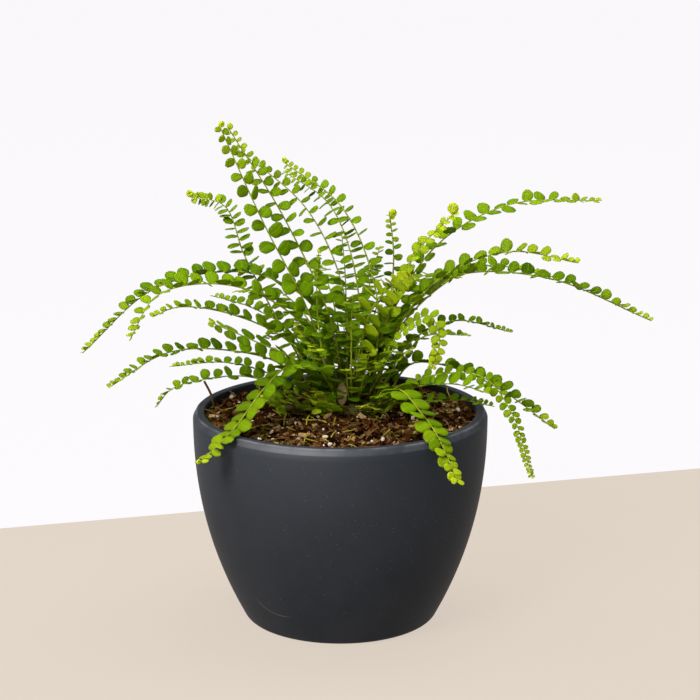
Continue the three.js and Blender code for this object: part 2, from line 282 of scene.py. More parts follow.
white_floor.data.materials.append(floor_finish("white_floor", WHITE, 3, WHITE_GLOW, 0.10))
deselect()
bpy.ops.mesh.primitive_cylinder_add(
    vertices=48,
    radius=STUDIO_WALL_RADIUS,
    depth=STUDIO_WALL_HEIGHT,
    end_fill_type="NOTHING",
    location=(0, 0, STUDIO_WALL_HEIGHT / 2 - 0.1),
)
studio_wall = bpy.context.object
studio_wall.name = "studio_wall"
studio_wall.data.materials.append(floor_finish("white_wall", WHITE, 3, WHITE_GLOW, 0.10))
studio_wall.visible_diffuse = False
studio_wall.visible_glossy = False
studio_wall.visible_transmission = False
studio_wall.visible_shadow = False
print("floor laid")

# %% [markdown]
# ## Light
#
# One large soft box at the front left lights the plant. A second one in the same place
# is seen only by glossy surfaces and draws the broad highlight on the pot. An overhead
# box lights the fronds from above, and the even white surroundings fill the shadows.

# %% Light it softly
FRONT_LEFT = (-0.85, -1.25, 1.20)
OVERHEAD = (0.10, 0.25, 1.9)
PLANT_MIDDLE = Vector((0, 0, 0.16))
SURROUNDINGS = 0.52


def soft_box(name, place, size, watts):
    """A round soft light that faces the middle of the plant."""
    data = bpy.data.lights.new(name, "AREA")
    data.shape = "DISK"
    data.size = size
    data.energy = watts
    light = bpy.data.objects.new(name, data)
    light.location = place
    aim = PLANT_MIDDLE - light.location
    light.rotation_euler = aim.to_track_quat("-Z", "Y").to_euler()
    bpy.context.scene.collection.objects.link(light)
    return light


soft_box("key_box", FRONT_LEFT, 0.8, 27)
sheen = soft_box("sheen_box", FRONT_LEFT, 0.8, 265)
sheen.visible_diffuse = False
soft_box("top_box", OVERHEAD, 1.2, 24)
world = bpy.data.worlds.new("studio_surroundings")
world.use_nodes = True
world.node_tree.nodes["Background"].inputs["Color"].default_value = (1, 1, 1, 1)
world.node_tree.nodes["Background"].inputs["Strength"].default_value = SURROUNDINGS
bpy.context.scene.world = world
bpy.context.scene.view_settings.view_transform = "Standard"

# %% [markdown]
# ## The pot
#
# The real pot is slip-cast stoneware with a matt charcoal glaze: a bowl whose side swells
# out quickly above a small rounded foot and ends upright at a flat rim. It is round, so
# half of its outline, drawn once and spun about the middle, gives the whole shape. The
# outline follows the same formula as the CAD pot, with more points so that it stays
# smooth close up.

# %% Draw the pot's outline
RIM_SLOPE_HEIGHT = 4 * MM
flare = rim_radius - FOOT_RADIUS
side_top = pot_height - RIM_SLOPE_HEIGHT
foot_angle = math.atan(SIDE_CURVE * flare / (side_top - FOOT_ROUNDING))
side_start = FOOT_ROUNDING * (1 - math.sin(foot_angle))


def outside_radius(z):
    up = min(max((z - side_start) / (side_top - side_start), 0), 1)
    return FOOT_RADIUS + flare * (1 - (1 - up) ** SIDE_CURVE)


def inside_radius(z):
    return outside_radius(z) - WALL


def rounded_corner(centre_radius, centre_z, radius, start, stop, steps):
    """Points of a quarter round, as (radius, height)."""
    points = []
    for i in range(steps + 1):
        angle = math.radians(start + (stop - start) * i / steps)
        across, up = radius * math.cos(angle), radius * math.sin(angle)
        points.append((centre_radius + across, centre_z + up))
    return points


RIM_SLOPE_INWARDS = 2 * MM
RIM_ROUNDING = 1.0 * MM
SIDE_POINTS = 40
INSIDE_POINTS = 24
pot_outline = [(0, 0)]
turn_centre = FOOT_RADIUS - FOOT_ROUNDING * math.cos(foot_angle)
foot_end = -math.degrees(foot_angle)
pot_outline += rounded_corner(turn_centre, FOOT_ROUNDING, FOOT_ROUNDING, -90, foot_end, 8)
for i in range(1, SIDE_POINTS + 1):
    z = side_start + (side_top - side_start) * (i / SIDE_POINTS) ** 1.3
    pot_outline.append((outside_radius(z), z))
for share in (0.12, 0.9):
    slope_in = RIM_SLOPE_INWARDS * share ** 1.2
    pot_outline.append((rim_radius - slope_in, side_top + RIM_SLOPE_HEIGHT * share))
pot_outline.append((rim_radius - RIM_SLOPE_INWARDS - 0.3 * MM, pot_height))
rim_turn = pot_height - RIM_ROUNDING
inner_edge = rim_radius - WALL
pot_outline += rounded_corner(inner_edge + RIM_ROUNDING, rim_turn, RIM_ROUNDING, 90, 180, 5)
for i in range(INSIDE_POINTS - 1, -1, -1):
    z = FLOOR + FOOT_ROUNDING + (rim_turn - FLOOR - FOOT_ROUNDING) * i / INSIDE_POINTS
    pot_outline.append((inside_radius(z), z))
pot_outline += [(inside_radius(FLOOR) - FOOT_ROUNDING, FLOOR), (0, FLOOR)]
print("outline points:", len(pot_outline))

# %% Spin the outline into a pot
def spun(name, outline, steps):
    """Spin an outline about the upright axis into a closed body."""
    deselect()
    mesh = bpy.data.meshes.new(name)
    edges = [(i, i + 1) for i in range(len(outline) - 1)]
    mesh.from_pydata([(radius, 0, z) for radius, z in outline], edges, [])
    piece = bpy.data.objects.new(name, mesh)
    bpy.context.scene.collection.objects.link(piece)
    bpy.context.view_layer.objects.active = piece
    piece.select_set(True)
    bpy.ops.object.mode_set(mode="EDIT")
    bpy.ops.mesh.select_all(action="SELECT")
    bpy.ops.mesh.spin(steps=steps, angle=2 * math.pi, center=(0, 0, 0), axis=(0, 0, 1))
    bpy.ops.mesh.select_all(action="SELECT")
    bpy.ops.mesh.remove_doubles(threshold=0.00001)
    bpy.ops.mesh.normals_make_consistent(inside=False)
    bpy.ops.object.mode_set(mode="OBJECT")
    return piece


pot = spun("bowl_pot", pot_outline, 144)
bpy.ops.object.shade_smooth_by_angle(angle=math.radians(35))
print("pot faces:", len(pot.data.polygons))

# %% [markdown]
# The glaze is matt and nearly even. What stops it looking like plastic is small: a slow
# mottle, fine pale specks, a painted highlight on the rim's sloping band and top edge,
# broken up by patches worn lighter by handling, and one faint scratch low on the front.
# Painted light also makes the pot lighter towards the top, and painted shade darkens the
# inner wall above the mix. Height and distance from the middle, both worked out from the
# position on the pot, say where the rim and the inner wall are.

# %% Glaze the pot
SCRATCH_X = -34.5 * MM
SCRATCH_Z = 38.5 * MM
SCRATCH_RADIUS = 20 * MM


def pot_glaze():
    finish = Finish("charcoal_glaze", specular_ior_level=0.13)
    x, y, z = finish.parts(finish.place())
    radius = (x * x + y * y) ** 0.5
    mottle = finish.noise(28, detail=5, rough=0.6)
    grain = finish.noise(900, detail=2)
    cloud = finish.blend(mottle.between(0.3, 0.7), (0.0085, 0.0115, 0.0175), (0.013, 0.016, 0.022))
    # Painted light: the pot is painted lighter towards the top and darker low down, as if lit from above.
    high = z.between(0.02, pot_height)
    body = finish.blend(high * 0.5, cloud, (0.022, 0.028, 0.038))
    specks = finish.cells(520)
    seldom = finish.noise(170, detail=1).between(0.58, 0.66)
    speck_mask = (1 - specks.between(0.10, 0.22)) * seldom
    body = finish.blend(speck_mask * 0.28, body, (0.16, 0.16, 0.165))
    # Painted highlight: the rim's sloping band is painted lighter all round, broken up by patches worn
    # lighter by handling.
    rubbed_wear_and_highlight = finish.noise(75, detail=4).between(0.32, 0.62)
    edge = z.between(side_top - 0.0002, side_top + 0.0008)
    slope_top = rim_radius - RIM_SLOPE_INWARDS
    outer = radius.between(slope_top - 0.0012, slope_top - 0.0002)
    body = finish.blend(edge * outer * (0.05 + rubbed_wear_and_highlight * 0.16), body, (0.12, 0.125, 0.135))
    # Painted highlight along the outer edge of the rim's flat top, broken up by the worn patches.
    top_edge_highlight = z.between(pot_height - 0.0010, pot_height - 0.0003) * outer
    body = finish.blend(top_edge_highlight * rubbed_wear_and_highlight * 0.35, body, (0.22, 0.22, 0.23))
    scratch_x = x - SCRATCH_X
    scratch_z = z - SCRATCH_Z
    ring = (scratch_x * scratch_x + scratch_z * scratch_z) ** 0.5
    line = 1 - (ring - SCRATCH_RADIUS).math("ABSOLUTE").between(0.00012, 0.0004)
    wedge = x.between(-0.052, -0.048) * (1 - x.between(-0.034, -0.029))
    wedge = wedge * (1 - y.between(-0.02, 0.0))
    low = 1 - z.between(0.03, 0.04)
    body = finish.blend(line * wedge * low * 0.5, body, (0.11, 0.11, 0.115))
    # Painted shade: the inner wall above the mix is painted darker.
    inner = 1 - radius.between(inner_edge - 0.0002, inner_edge + 0.0008)
    painted_inner_shade = inner * z.between(soil_level - 0.008, soil_level - 0.004)
    body = finish.blend(painted_inner_shade * 0.55, body, (0.012, 0.012, 0.014))
    under = 1 - z.between(0.0002, 0.0012)
    body = finish.blend(under, body, (0.10, 0.095, 0.09))
    rough = 0.54 + mottle * 0.08 + grain * 0.04
    return finish.wear(
        base_color=body,
        roughness=rough,
        normal=finish.bump(grain + mottle * 2, 0.0001, 0.5),
    )


pot.data.materials.append(pot_glaze())
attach(pot, "root")
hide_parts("pot")
print("pot glazed")

# %% [markdown]
# ## The potting mix
#
# Potting mix is crumbs of peat and bark of every size. A spun disc with many rings gives
# enough points to push up and down. Three Displace modifiers do it, for lumps, crumbs and
# grit, held back at the wall and below by a vertex group.

# %% Spin the mix and push up its crumbs
GAP = 0.4 * MM
WALL_MARGIN = 3 * MM
TOP_RINGS = 74
MIX_SEGMENTS = 230


def soil_height(radius):
    out = min(radius / inside_radius(soil_level), 1)
    return soil_level + SOIL_MOUND * (1 - out * out)


mix_edge = inside_radius(soil_level) - GAP
mix_outline = [(0, FLOOR + GAP), (inside_radius(FLOOR) - FOOT_ROUNDING - GAP, FLOOR + GAP)]
for i in range(9):
    z = FLOOR + FOOT_ROUNDING + (soil_level - FLOOR - FOOT_ROUNDING) * i / 8
    mix_outline.append((inside_radius(z) - GAP, z))
for i in range(1, TOP_RINGS + 1):
    radius = mix_edge * (1 - i / TOP_RINGS)
    mix_outline.append((radius, soil_height(radius)))
mix = spun("potting_mix_crumbs", mix_outline, MIX_SEGMENTS)
top = mix.vertex_groups.new(name="top")
for vertex in mix.data.vertices:
    reach = math.hypot(vertex.co.x, vertex.co.y)
    if vertex.co.z > soil_level - 0.0001:
        top.add([vertex.index], min((mix_edge - reach) / WALL_MARGIN, 1), "REPLACE")


def push_up(piece, name, kind, size, strength, middle):
    """Displace a piece upwards by a built-in texture and apply it."""
    texture = bpy.data.textures.new(name, kind)
    texture.noise_scale = size
    modifier = piece.modifiers.new(name, "DISPLACE")
    modifier.texture = texture
    modifier.texture_coords = "LOCAL"
    modifier.direction = "Z"
    modifier.strength = strength
    modifier.mid_level = middle
    modifier.vertex_group = "top"
    bpy.ops.object.modifier_apply(modifier=name)


push_up(mix, "lumps", "CLOUDS", 0.018, 0.0035, 0.5)
push_up(mix, "crumbs", "VORONOI", 0.0040, -0.0042, 0.4)
push_up(mix, "grit", "CLOUDS", 0.0022, 0.0014, 0.5)
bpy.ops.object.shade_smooth_by_angle(angle=math.radians(28))
print("mix faces:", len(mix.data.polygons))

# %% [markdown]
# Damp peat is nearly black, and bark crumbs run from there to tan. One cell of a Voronoi
# pattern is one crumb with its own tone. Slow noise lays damp patches and a little moss
# over the crumbs, and fine noise roughens them.

# %% Colour the mix
def mix_finish():
    finish = Finish("peat_and_bark", specular_ior_level=0.02, ior=1.1)
    crumb = finish.cells(340, out="Color")
    tone, second, _ = finish.parts(crumb)
    fine = finish.noise(1400, detail=4, rough=0.7)
    damp = finish.noise(45, detail=3)
    body = finish.blend(tone.between(0.1, 0.95), (0.0035, 0.0013, 0.0006), (0.075, 0.024, 0.006))
    body = finish.blend(second.between(0.76, 0.86) * 0.85, body, (0.23, 0.125, 0.045))
    body = finish.blend(damp.between(0.45, 0.7) * 0.6, body, (0.008, 0.0035, 0.0015))
    moss = finish.noise(60, detail=4).between(0.55, 0.62) * fine.between(0.45, 0.6)
    body = finish.blend(moss * 0.7, body, (0.17, 0.15, 0.015))
    height = fine + finish.cells(420) * 0.8
    return finish.wear(
        base_color=body,
        roughness=0.75 + fine * 0.25,
        normal=finish.bump(height, 0.0008, 0.9),
    )


mix.data.materials.append(mix_finish())
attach(mix, "root")
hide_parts("potting_mix")
print("mix coloured")

# %% [markdown]
# ## Loose bits
#
# Over the crumbs lie things big enough to tell apart: flakes of bark, white perlite and
# threads of root. Each kind is modelled once, with few faces because it is repeated so
# often, and then copied over the mix at its own size, turn and tone. All the copies of a
# kind make one piece. Every copy carries a random tone in a colour attribute, which the
# material reads, so no two look alike.

# %% Model one flake, one grain and one thread
def mesh_arrays(piece):
    """A piece's points, and its faces as lists of point numbers."""
    points = np.array([vertex.co for vertex in piece.data.vertices])
    faces = [list(face.vertices) for face in piece.data.polygons]
    return points, faces


def bark_flake():
    deselect()
    bpy.ops.mesh.primitive_cube_add(size=1)
    flake = bpy.context.object
    bpy.ops.object.mode_set(mode="EDIT")
    bpy.ops.mesh.subdivide(number_cuts=1)
    bpy.ops.transform.resize(value=(1, 0.55, 0.3))
    bpy.ops.transform.vertex_random(offset=0.11, seed=4)
    bpy.ops.mesh.normals_make_consistent(inside=False)
    bpy.ops.object.mode_set(mode="OBJECT")
    return flake


def perlite_lump():
    deselect()
    bpy.ops.mesh.primitive_ico_sphere_add(subdivisions=1, radius=0.5)
    lump = bpy.context.object
    bpy.ops.object.mode_set(mode="EDIT")
    bpy.ops.transform.vertex_random(offset=0.22, seed=2)
    bpy.ops.mesh.select_all(action="SELECT")
    bpy.ops.mesh.bevel(offset=0.05, segments=1)
    bpy.ops.mesh.normals_make_consistent(inside=False)
    bpy.ops.object.mode_set(mode="OBJECT")
    return lump


def root_thread():
    deselect()
    lying = (0, math.pi / 2, 0)
    bpy.ops.mesh.primitive_cylinder_add(vertices=5, radius=0.035, depth=1, rotation=lying)
    thread = bpy.context.object
    bpy.ops.object.transform_apply(location=True, rotation=True, scale=True)
    bpy.ops.object.mode_set(mode="EDIT")
    for cut in (-0.3, -0.1, 0.1, 0.3):
        bpy.ops.mesh.select_all(action="SELECT")
        bpy.ops.mesh.bisect(plane_co=(cut, 0, 0), plane_no=(1, 0, 0))
    bpy.ops.mesh.select_all(action="SELECT")
    bpy.ops.object.mode_set(mode="OBJECT")
    for vertex in thread.data.vertices:
        vertex.co.y += 0.10 * math.sin(5 * vertex.co.x)
        vertex.co.z += 0.16 * (0.25 - vertex.co.x ** 2)
    return thread


models = {}
for maker in (bark_flake, perlite_lump, root_thread):
    model = maker()
    models[maker.__name__] = mesh_arrays(model)
    bpy.data.objects.remove(model)
print({name: len(faces) for name, (points, faces) in models.items()})

# %% Copy them over the mix
def turned(points, yaw, tilt, roll):
    """Points turned by three angles: about X, then about Y, then about the upright."""
    for axis, angle in (((1, 0, 0), roll), ((0, 1, 0), tilt), ((0, 0, 1), yaw)):
        a, b = [i for i in range(3) if not axis[i]]
        if axis[1]:
            a, b = b, a
        cos, sin = math.cos(angle), math.sin(angle)
        first = points[:, a] * cos - points[:, b] * sin
        second = points[:, a] * sin + points[:, b] * cos
        points = points.copy()
        points[:, a] = first
        points[:, b] = second
    return points


def piece_from(name, points, faces, paint, uv=None):
    """A mesh piece, with a colour attribute `tones` on its points and an own UV map when one is given."""
    mesh = bpy.data.meshes.new(name)
    mesh.from_pydata(points.tolist(), [], faces)
    layer = mesh.color_attributes.new("tones", "FLOAT_COLOR", "POINT")
    layer.data.foreach_set("color", np.asarray(paint, np.float32).ravel())
    if uv is not None:
        corners = np.empty(len(mesh.loops), np.int32)
        mesh.loops.foreach_get("vertex_index", corners)
        leaf_map = mesh.uv_layers.new(name="leaf_map")
        leaf_map.data.foreach_set("uv", uv[corners].astype(np.float32).ravel())
    mesh.update()
    piece = bpy.data.objects.new(name, mesh)
    bpy.context.scene.collection.objects.link(piece)
    return piece


mix_tree = BVHTree.FromPolygons(
    [vertex.co.copy() for vertex in mix.data.vertices],
    [tuple(face.vertices) for face in mix.data.polygons],
)


def mix_surface(x, y):
    hit = mix_tree.ray_cast(Vector((x, y, pot_height + 0.05)), Vector((0, 0, -1)))
    return hit[0].z if hit[0] else soil_level


def scattered(name, model, count, lengths, spread, sunk, dice):
    """Copies of a model at random over the mix, as one piece."""
    shape, shape_faces = models[model]
    points, faces, paint = [], [], []
    for copy in range(count):
        angle = dice.uniform(0, 2 * math.pi)
        reach = (mix_edge - WALL_MARGIN) * math.sqrt(dice.random())
        length = lengths[0] + (lengths[1] - lengths[0]) * dice.random() ** 2
        size = length * np.array([1, dice.uniform(*spread), dice.uniform(*spread)])
        x, y = reach * math.cos(angle), reach * math.sin(angle)
        place = np.array([x, y, mix_surface(x, y) + length * sunk])
        turns = (dice.uniform(0, 2 * math.pi), dice.gauss(0, 0.55), dice.gauss(0, 0.55))
        faces += [[index + len(shape) * copy for index in face] for face in shape_faces]
        points.append(turned(shape * size, *turns) + place)
        paint += [(dice.random(), dice.random(), 0, 1)] * len(shape)
    return piece_from(name, np.concatenate(points), faces, paint)


dice = random.Random(7)
bark_bits = scattered("bark_flakes", "bark_flake", 1400, (0.0012, 0.0050), (0.5, 1.4), 0.05, dice)
perlite_bits = scattered("perlite_lumps", "perlite_lump", 120, (0.0010, 0.0045), (0.35, 1.0), 0.1, dice)
root_bits = scattered("root_threads", "root_thread", 260, (0.006, 0.019), (0.5, 0.9), 0.02, dice)
for piece in (bark_bits, perlite_bits, root_bits):
    print(piece.name, len(piece.data.polygons))

# %% [markdown]
# Bark is brown with a few tan flakes, perlite is off-white and stained by the peat, and
# root threads are brown with a few that are green with moss. The tone that each copy
# carries picks its place between a dark and a light colour.

# %% Colour the loose bits
def bark_finish():
    finish = Finish("bark", specular_ior_level=0.03, ior=1.1)
    tone, second, _ = finish.parts(finish.attribute("tones"))
    fibre = finish.noise(900, detail=4, rough=0.7)
    body = finish.blend(tone.between(0.2, 0.9), (0.005, 0.0018, 0.0007), (0.125, 0.045, 0.010))
    body = finish.blend(second.between(0.74, 0.80), body, (0.52, 0.33, 0.14))
    body = finish.blend(fibre.between(0.4, 0.7) * 0.7, body, (0.010, 0.004, 0.002))
    normal = finish.bump(fibre, 0.0006, 0.8)
    return finish.wear(base_color=body, roughness=0.7 + fibre * 0.25, normal=normal)


def perlite_finish():
    finish = Finish("perlite", specular_ior_level=0.05)
    tone, _, _ = finish.parts(finish.attribute("tones"))
    pores = finish.noise(1500, detail=3)
    body = finish.blend(tone, (0.62, 0.52, 0.36), (0.84, 0.78, 0.66))
    body = finish.blend(pores.between(0.5, 0.75) * 0.5, body, (0.34, 0.24, 0.12))
    normal = finish.bump(pores, 0.0005, 0.8)
    return finish.wear(base_color=body, roughness=0.75 + pores * 0.2, normal=normal)


def root_finish():
    finish = Finish("root", specular_ior_level=0.02, ior=1.1)
    tone, second, _ = finish.parts(finish.attribute("tones"))
    fibre = finish.noise(1200, detail=2)
    body = finish.blend(tone, (0.060, 0.024, 0.008), (0.21, 0.12, 0.035))
    body = finish.blend(second.between(0.6, 0.7), body, (0.36, 0.31, 0.035))
    normal = finish.bump(fibre, 0.0003, 0.6)
    return finish.wear(base_color=body, roughness=0.65 + fibre * 0.3, normal=normal)


for piece, material, slot, stands_for in (
    (bark_bits, bark_finish(), "bark", ["bark_chip_left", "bark_chip_right", "bark_chip_back"]),
    (perlite_bits, perlite_finish(), "perlite",
     ["perlite_grain_front", "perlite_grain_right", "perlite_grain_left"]),
    (root_bits, root_finish(), "potting_mix", []),
):
    piece.data.materials.append(material)
    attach(piece, "root")
    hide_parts(*stands_for)
print("loose bits coloured")

# %% [markdown]
# ## One leaflet
#
# A button fern's leaflet is an oval about 9 mm long, a little lopsided at its foot, with
# a sunken vein along the middle and edges that turn down. It starts as a flat grid. Each
# row of points is drawn in to the oval, the middle column is pressed down for the vein,
# the sides droop, and Solidify gives the blade its thickness and closes it.

# %% Model one leaflet
def pick(mesh, test):
    """Select only the points that pass a test, in edit mode."""
    for vertex in mesh.verts:
        vertex.select = test(vertex.co)
    mesh.select_flush_mode()


LEAF_BOW = 0.10
TIP_DROOP = 0.16
VEIN_DEPTH = 0.035
SIDE_DROOP = 0.05
BLADE_THICKNESS = 0.035


def bow(up):
    """How far to one side the middle of the blade stands at a share of its length."""
    return LEAF_BOW * math.sin(math.pi * up)


def leaflet(name, columns, rows):
    """A leaflet one unit long and one wide, with its foot at the origin and its tip on +Y."""
    deselect()
    bpy.ops.mesh.primitive_grid_add(
        x_subdivisions=columns,
        y_subdivisions=rows,
        size=1,
        location=(0, 0.5, 0),
    )
    blade = bpy.context.object
    blade.name = name
    bpy.ops.object.transform_apply(location=True, rotation=True, scale=True)
    bpy.ops.object.mode_set(mode="EDIT")
    mesh = bmesh.from_edit_mesh(blade.data)
    levels = sorted({round(vertex.co.y, 4) for vertex in mesh.verts})
    for level in levels:
        swell = math.sqrt(max(1 - (2 * level - 1) ** 2, 0)) ** 0.85
        wide = max(swell, 0.12 if level < 0.5 else 0.24)
        pick(mesh, lambda co: abs(co.y - level) < 0.01)
        bpy.ops.transform.resize(value=(wide, 1, 1), center_override=(0, level, 0))
        bpy.ops.transform.translate(value=(bow(level), 0, -TIP_DROOP * level ** 2))
    pick(mesh, lambda co: abs(co.x - bow(co.y)) < 0.03)
    bpy.ops.transform.translate(value=(0, 0, -VEIN_DEPTH))
    pick(mesh, lambda co: abs(co.x - bow(co.y)) > 0.3)
    bpy.ops.transform.translate(value=(0, 0, -SIDE_DROOP))
    bpy.ops.object.mode_set(mode="OBJECT")
    thicken = blade.modifiers.new("thicken", "SOLIDIFY")
    thicken.thickness = BLADE_THICKNESS
    thicken.offset = 0
    bpy.ops.object.modifier_apply(modifier="thicken")
    return blade


def leaf_arrays(blade):
    """Points, faces and one UV place per point: across the blade, then along it."""
    points, faces = mesh_arrays(blade)
    across = points[:, 0] - LEAF_BOW * np.sin(np.pi * points[:, 1]) + 0.5
    uv = np.stack([across, points[:, 1]], 1)
    bpy.data.objects.remove(blade)
    return points, np.array(faces), uv


leaf_points, leaf_faces, leaf_uv = leaf_arrays(leaflet("leaflet", 4, 6))
print("leaflet faces:", len(leaf_faces))

# %% [markdown]
# ## The ribs
#
# Each frond's rib runs through the same places as its CAD strip. A row gives the plane it
# lies in and the places it passes, in millimetres. A centripetal Catmull-Rom curve
# through them is the curve that the CAD strip was swept along.

# %% List the fronds
# name, measured from, bearing, seat, side, [reach, height] places, roll, leaf, bare share
FRONDS = [
    ["frond_upper_left_front", "crown", 205, 5, 0, [[32, 74], [56, 120], [84, 181]], -70, 9, 0.36],
    ["frond_upper_left_middle", "crown", 185, 4, 6, [[12, 57], [40, 121], [73, 176]], -60, 8, 0.36],
    ["frond_upper_left_back", "crown", 165, 2, 0, [[4, 74], [27, 124], [73, 161]], -55, 7, 0.36],
    ["frond_top_left_front", "crown", 160, -15, 0, [[-17, 74], [5, 126], [43, 152]], -55, 7, 0.36],
    ["frond_top_left_back", "crown", 130, -6, 4, [[-8, 74], [16, 123], [64, 141]], -50, 7, 0.36],
    ["frond_left_edge_on", "crown", 169, 16, 4, [[42, 49], [66, 95], [78, 125], [100, 130]], -70, 8, 0.36],
    ["frond_left_long", "crown", 184, 10, -8, [[22, 65], [60, 87], [117, 79], [163, 39]], -8, 9, 0.24],
    ["frond_left_drooping", "crown", 205, 12, -6, [[30, 55], [76, 85], [124, 84], [142, 59]], -12, 8, 0.26],
    ["frond_left_short_front", "crown", 197, 17, 0, [[38, 45], [76, 66], [108, 72], [123, 67]],
     -10, 8, 0.26],
    ["frond_left_short_back", "crown", 152, 18, 0, [[42, 45], [72, 58], [99, 62]], -10, 7, 0.3],
    ["frond_left_towards_front", "crown", 222, 18, -4, [[42, 37], [78, 57], [110, 73]], -35, 11, 0.3],
    ["frond_left_low_long", "crown", 196, 22, 5, [[42, 31], [76, 43], [114, 44], [150, 25]], -8, 8, 0.22],
    ["frond_left_low_back", "crown", 165, 23, 0, [[50, 19], [80, 25], [117, 20]], -10, 6, 0.24],
    ["frond_over_left_rim", "rim", 176, 24, 0, [[-32, 16], [0, 13], [17, 7], [26, -4]], -10, 7, 0.22],
    ["frond_over_front_left_rim", "rim", 226, 24, 0, [[-52, 33], [-30, 24], [-6, 5], [23, -11]],
     8, 10, 0.2],
    ["frond_upright_right", "crown", 30, 14, 0, [[26, 49], [31, 92], [28, 120]], 65, 6, 0.36],
    ["frond_upper_right_young", "crown", -5, 8, 4, [[22, 55], [40, 99], [64, 125]], 35, 8, 0.34],
    ["frond_upper_right_long", "crown", 8, 10, 4, [[30, 69], [57, 105], [99, 126], [156, 127]],
     15, 8, 0.28],
    ["frond_right_bright", "crown", -14, 15, -5, [[34, 61], [62, 90], [99, 104], [139, 99]],
     10, 8, 0.28],
    ["frond_right_longest", "crown", -4, 14, 2, [[28, 51], [61, 84], [118, 85], [183, 59]], 8, 8, 0.26],
    ["frond_right_behind", "crown", 10, 15, 8, [[36, 57], [80, 87], [128, 79]], 10, 8, 0.3],
    ["frond_right_middle", "crown", 5, 19, 0, [[36, 41], [64, 55], [100, 47]], 12, 6, 0.3],
    ["frond_right_back", "crown", 32, 17, 0, [[34, 21], [53, 39], [89, 36]], 10, 6, 0.3],
    ["frond_right_hanging", "crown", -35, 13, 0, [[34, 51], [58, 67], [65, 53], [59, 34]], 50, 5, 0.5],
    ["frond_over_right_rim", "rim", -12, 22, 0, [[-48, 27], [-21, 26], [9, 13], [41, -9]], 8, 8, 0.22],
    ["frond_right_low", "crown", -28, 23, -3, [[40, 18], [70, 25], [94, 22]], 8, 8, 0.2],
    ["frond_over_front_right_rim", "rim", -58, 23, 0, [[-42, 21], [-18, 12], [-2, 3], [20, -20]],
     -10, 10, 0.2],
    ["frond_hanging_right_rim", "rim", -22, 22, 0, [[-40, 21], [-2, 25], [16, 5], [30, -35]],
     45, 5, 0.34],
    ["frond_on_right_rim", "rim", -12, 25, 6, [[-37, 4], [-15, 6], [4, 3]], 8, 6, 0.25],
    ["frond_front_bright", "crown", -65, 8, 0, [[14, 43], [37, 76], [84, 101]], -60, 9, 0.4],
    ["frond_middle_upright", "crown", 228, 10, 0, [[24, 37], [30, 75], [28, 105]], -40, 8, 0.34],
    ["frond_inner_back", "crown", 100, 6, 0, [[12, 39], [16, 79], [30, 107]], 0, 7, 0.34],
    ["frond_inner_right_back", "crown", 60, 8, 0, [[16, 39], [24, 74], [38, 97]], 0, 7, 0.34],
    ["frond_inner_right", "crown", 14, 4, -3, [[11, 34], [18, 67], [32, 85]], -20, 7, 0.34],
    ["frond_inner_front", "crown", -88, 13, 0, [[17, 29], [22, 59], [38, 81]], 0, 8, 0.34],
    ["frond_low_front_left", "crown", 241, 14, 0, [[26, 22], [42, 37], [64, 41]], 0, 8, 0.3],
    ["frond_back_right_high", "crown", 46, 14, 0, [[26, 39], [60, 73], [102, 69]], 0, 8, 0.3],
    ["frond_back_right_low", "crown", 63, 19, 0, [[28, 21], [54, 41], [90, 35]], 0, 8, 0.28],
    ["frond_back_high", "crown", 78, 13, 0, [[22, 44], [50, 75], [92, 73]], 0, 8, 0.3],
    ["frond_over_back_rim", "rim", 92, 19, 0, [[-40, 23], [-10, 25], [24, -1]], 0, 8, 0.26],
    ["frond_back_left_high", "crown", 108, 14, 0, [[20, 41], [48, 73], [88, 77]], 0, 8, 0.3],
    ["frond_back_left_low", "crown", 124, 20, 0, [[28, 23], [60, 43], [102, 25]], 0, 8, 0.28],
    ["frond_back_left_side", "crown", 138, 14, 0, [[24, 39], [56, 65], [98, 61]], 0, 8, 0.3],
    ["young_leaf_front_left", "crown", 228, 26, 0, [[34, 13], [42, 19]], 0, 5, 0.3],
    ["young_leaf_front", "crown", 246, 25, 0, [[30, 11], [38, 15]], 0, 5, 0.3],
    ["young_leaf_front_right", "crown", -75, 25, 2, [[31, 10], [40, 14]], 0, 5, 0.3],
]
print("fronds:", len(FRONDS))

# %% Work out a rib's curve
FOOT_ABOVE_MIX = 5 * MM
OUTER_FOOT_ABOVE_MIX = 2.5 * MM
OUTER_SEAT = 20
RIB_STEP = 4 * MM


def rim_distance(bearing):
    """From the crown's centre to the pot's outer edge along a bearing."""
    angle = math.radians(bearing)
    towards = crown_centre.x * math.cos(angle) + crown_centre.y * math.sin(angle)
    off = crown_centre.x ** 2 + crown_centre.y ** 2
    return math.sqrt(towards ** 2 - off + rim_radius ** 2) - towards


def catmull_rom(places, steps):
    """Points along a centripetal Catmull-Rom curve through the places."""
    first = 2 * places[0] - places[1]
    last = 2 * places[-1] - places[-2]
    knots = [first, *places, last]
    curve = []
    for a, b, c, d in zip(knots, knots[1:], knots[2:], knots[3:]):
        gaps = [math.sqrt(np.linalg.norm(q - p)) for p, q in ((a, b), (b, c), (c, d))]
        start = (b - a) / gaps[0] - (c - a) / (gaps[0] + gaps[1]) + (c - b) / gaps[1]
        end = (c - b) / gaps[1] - (d - b) / (gaps[1] + gaps[2]) + (d - c) / gaps[2]
        start, end = start * gaps[1], end * gaps[1]
        for t in np.linspace(0, 1, steps, endpoint=False):
            cubic = (2 * b - 2 * c + start + end) * t ** 3
            square = (3 * c - 3 * b - 2 * start - end) * t ** 2
            curve.append(cubic + square + start * t + b)
    return np.array([*curve, places[-1]])


